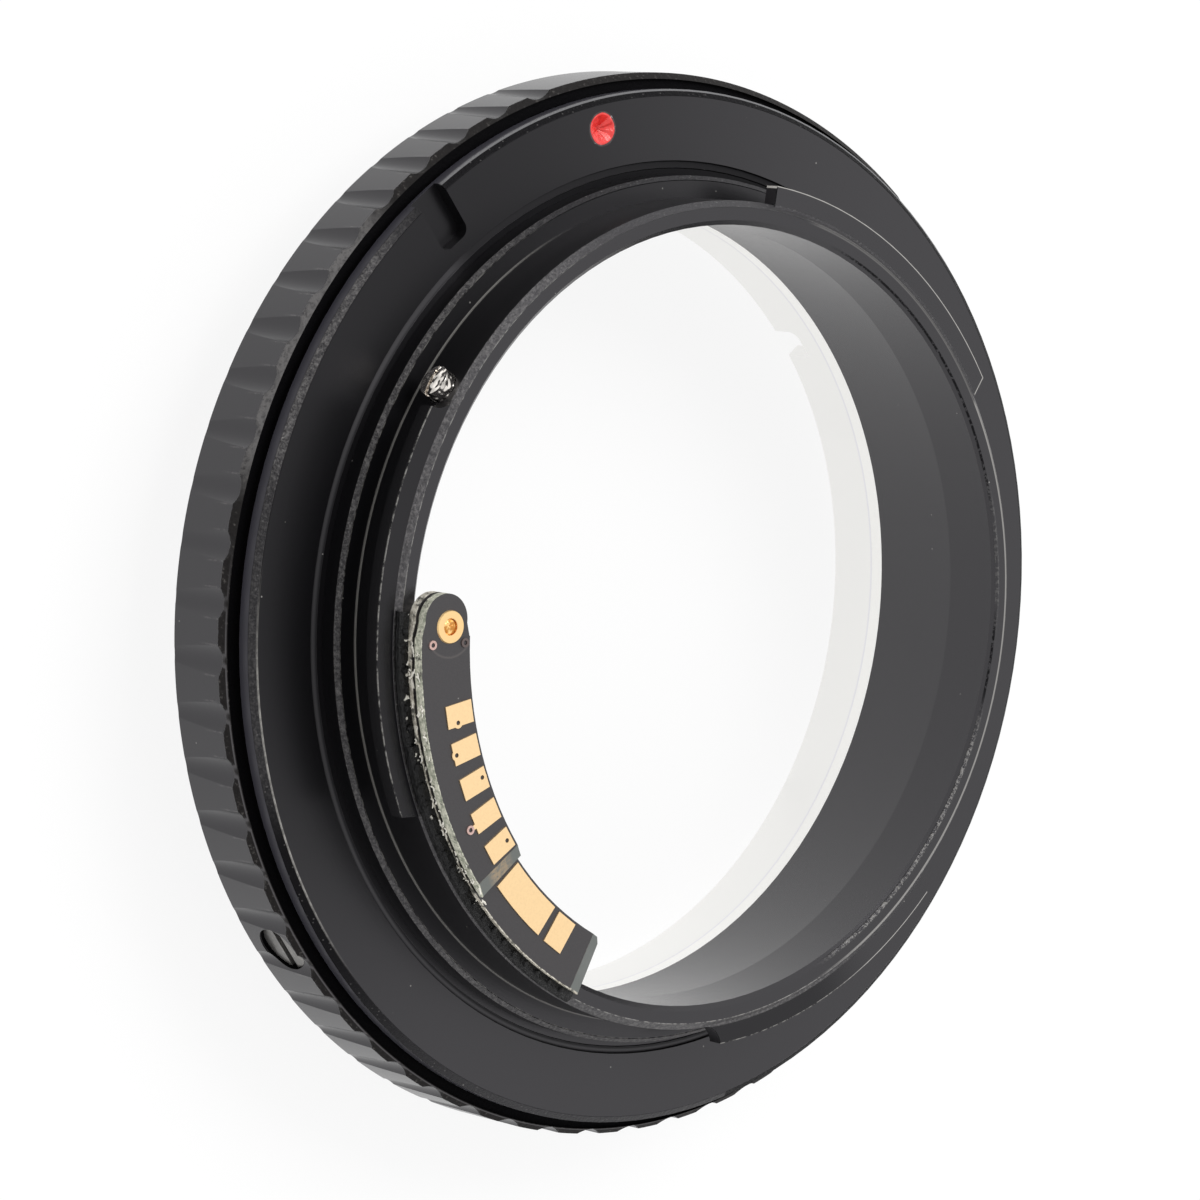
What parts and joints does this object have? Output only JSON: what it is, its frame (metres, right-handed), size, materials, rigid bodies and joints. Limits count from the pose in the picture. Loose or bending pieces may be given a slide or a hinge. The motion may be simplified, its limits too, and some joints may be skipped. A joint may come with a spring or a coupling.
{
  "type": "lens mount adapter",
  "caption": "Ring adapter with a three-lug camera bayonet, a fluted turning grip, contact boards on the neck and a bright breech-lock ring on the lens side.",
  "frame": {"origin": "on the optical axis, in the plane of the lens-side rear rim that the part stands on", "axes": "+Z along the optical axis towards the camera, +X through the red index dot on the camera flange"},
  "size_m": [0.067, 0.067, 0.0175],
  "materials": {
    "black_anodise": "black anodised, satin, worn edges",
    "nickel_screw": "nickel plated",
    "red_paint": "red enamel",
    "black_steel": "blackened",
    "brass_ring": "turned",
    "bright_plate": "bright plated, grainy turned rim",
    "board": "fibre board with dark solder mask",
    "bond": "pale resin",
    "black_glue": "glossy black resin",
    "bronze": "bronze",
    "gold": "gold plated"
  },
  "bodies": {
    "body": {"mount_body": "black_anodise", "stop_screw": "nickel_screw", "index_dot": "red_paint", "lens_mount_ring": "bright_plate", "mount_ring_screw_1": "nickel_screw", "mount_ring_screw_2": "nickel_screw", "mount_ring_screw_3": "nickel_screw", "lens_index_dot": "red_paint", "lower_board": "board", "upper_board": "board", "board_bond": "bond", "glue_bead": "black_glue", "eyelet": "bronze", "contact_1": "gold", "contact_2": "gold", "contact_3": "gold", "contact_4": "gold", "contact_5": "gold", "wide_contact": "gold", "end_contact": "gold", "via_rings": "gold"},
    "grip": {"grip_ring": "black_anodise", "set_screw_1": "black_steel", "set_screw_2": "black_steel", "set_screw_3": "black_steel", "drive_ring": "brass_ring", "aperture_lever": "nickel_screw", "lever_screw": "nickel_screw"}
  },
  "joints": [
    {"name": "grip_turn", "type": "hinge", "parent": "body", "child": "grip", "pos_m": [0, 0, 0.0066], "axis": [0, 0, 1], "range_deg": [0, 30]}
  ]
}
